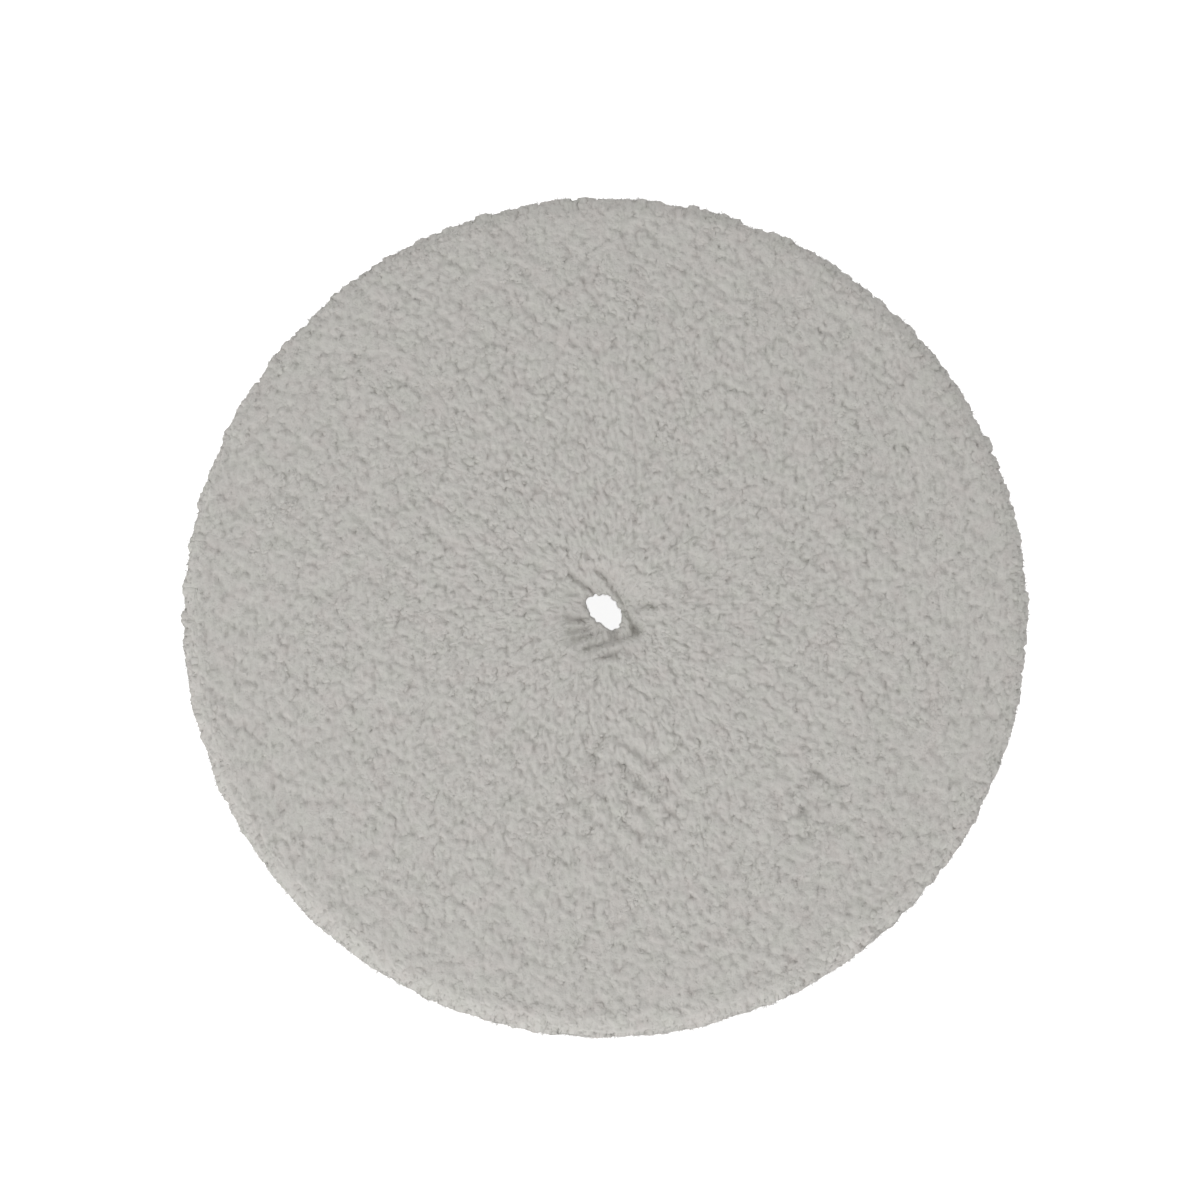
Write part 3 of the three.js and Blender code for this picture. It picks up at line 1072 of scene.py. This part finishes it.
def build_pile():
    """The matted skin, the tufts by the hole, and those of the face and the rim, sector by sector."""
    wool = wool_material()
    tips = layout()
    middle = tips.mean(1)
    s = np.linalg.norm(middle, axis=-1)
    sector = np.floor((np.arctan2(middle[:, 1], middle[:, 0]) / TURN % 1) * SECTORS)
    is_centre = s < LYING_END
    is_rim = s > RIM_START
    groups = [("wool_centre", is_centre, FULL_RINGS, 8, 100)]
    for i in range(SECTORS):
        face = (sector == i) & ~is_centre & ~is_rim
        rim = (sector == i) & is_rim
        groups.append((f"wool_face_{i + 1}", face, FACE_RINGS, 5, 200 + i))
        groups.append((f"wool_rim_{i + 1}", rim, RIM_RINGS, 6, 300 + i))
    add_piece(matting(tips), wool, "wool_pile")
    for name, chosen, rings, sides, seed in groups:
        for piece in wool_piece(name, tips[chosen], rings, sides, seed):
            add_piece(piece, wool, "wool_pile")


def build_backing():
    """The layers, from the facing's loops up to the ground cloth, and the stitches of both seams."""
    thread = thread_material()
    loop = loop_material()
    facing = add_piece(facing_cloth(), loop, "loop_facing")
    add_piece(facing_loops(), loop, "loop_facing")
    add_piece(whole_layer("facing_adhesive"), film_material(), "facing_adhesive")
    add_piece(backing_disc(), disc_material(), "backing_disc")
    add_piece(whole_layer("binder_coat"), binder_material(), "binder_coat")
    cloth = add_piece(whole_layer("ground_cloth"), cloth_material(), "ground_cloth")
    groove_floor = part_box("backing_disc")[0].z + GROOVE_DEPTH
    for seam, radius in SEAM_RADII.items():
        for face, surface, side in (("face", CLOTH_TOP, 1), ("back", groove_floor, -1)):
            node = f"{seam}_seam_{face}_thread"
            add_piece(seam_thread(node, radius, surface, side), thread, node)


# ---- Stage ----


def camera_only(nodes, links, lit, seen):
    """The shader lit, with the shader seen added to it where the camera looks straight at it."""
    path = nodes.new("ShaderNodeLightPath")
    both = nodes.new("ShaderNodeAddShader")
    mix = nodes.new("ShaderNodeMixShader")
    links.new(lit, both.inputs[0])
    links.new(seen, both.inputs[1])
    links.new(path.outputs["Is Camera Ray"], mix.inputs["Fac"])
    links.new(lit, mix.inputs[1])
    links.new(both.outputs["Shader"], mix.inputs[2])
    return mix.outputs["Shader"]


def stage():
    """A pale floor, plain white to the camera."""
    bpy.ops.mesh.primitive_plane_add(size=FLOOR_SIZE, location=(0, 0, 0))
    floor = bpy.context.object
    floor.name = "floor"
    material, nodes, links, shader = new_material("floor")
    shader.inputs["Base Color"].default_value = (*FLOOR_COLOUR, 1)
    shader.inputs["Roughness"].default_value = 0.9
    glow = nodes.new("ShaderNodeEmission")
    glow.inputs["Strength"].default_value = FLOOR_GLOW
    surface = camera_only(nodes, links, shader.outputs["BSDF"], glow.outputs["Emission"])
    links.new(surface, nodes["Material Output"].inputs["Surface"])
    floor.data.materials.append(material)


def world():
    """A pale dome, brighter towards the horizon, and plain white to the camera."""
    studio = bpy.data.worlds.new("studio")
    bpy.context.scene.world = studio
    studio.use_nodes = True
    nodes, links = studio.node_tree.nodes, studio.node_tree.links
    dome = nodes["Background"]
    split = nodes.new("ShaderNodeSeparateXYZ")
    links.new(nodes.new("ShaderNodeTexCoord").outputs["Generated"], split.inputs["Vector"])
    shade = ramp(nodes, links, split.outputs["Z"], (0, WHITE), (1, grey(DOME_ZENITH / DOME_HORIZON)))
    links.new(shade, dome.inputs["Color"])
    dome.inputs["Strength"].default_value = DOME_HORIZON
    white = nodes.new("ShaderNodeBackground")
    white.inputs["Strength"].default_value = WORLD_GLOW
    surface = camera_only(nodes, links, dome.outputs["Background"], white.outputs["Background"])
    links.new(surface, nodes["World Output"].inputs["Surface"])


def key_light():
    """A square softbox that points at the pad."""
    light = bpy.data.lights.new("key", "AREA")
    light.shape = "SQUARE"
    light.size = KEY_SIZE
    light.energy = KEY_POWER
    obj = bpy.data.objects.new("key", light)
    obj.location = KEY_PLACE
    obj.rotation_euler = (-Vector(KEY_PLACE)).to_track_quat("-Z", "Y").to_euler()
    bpy.context.scene.collection.objects.link(obj)


def camera():
    """The photograph's view: nearly straight down on the face."""
    data = bpy.data.cameras.new("camera")
    data.lens = CAMERA_LENS
    cam = bpy.data.objects.new("camera", data)
    back = Vector((0, -math.sin(CAMERA_TILT), math.cos(CAMERA_TILT)))
    cam.location = CAMERA_AIM + back * CAMERA_DISTANCE
    cam.rotation_euler = (CAMERA_TILT, 0, 0)
    bpy.context.scene.collection.objects.link(cam)
    bpy.context.scene.camera = cam


build_pile()
build_backing()
stage()
world()
key_light()
camera()
bpy.context.scene.view_settings.view_transform = "Standard"
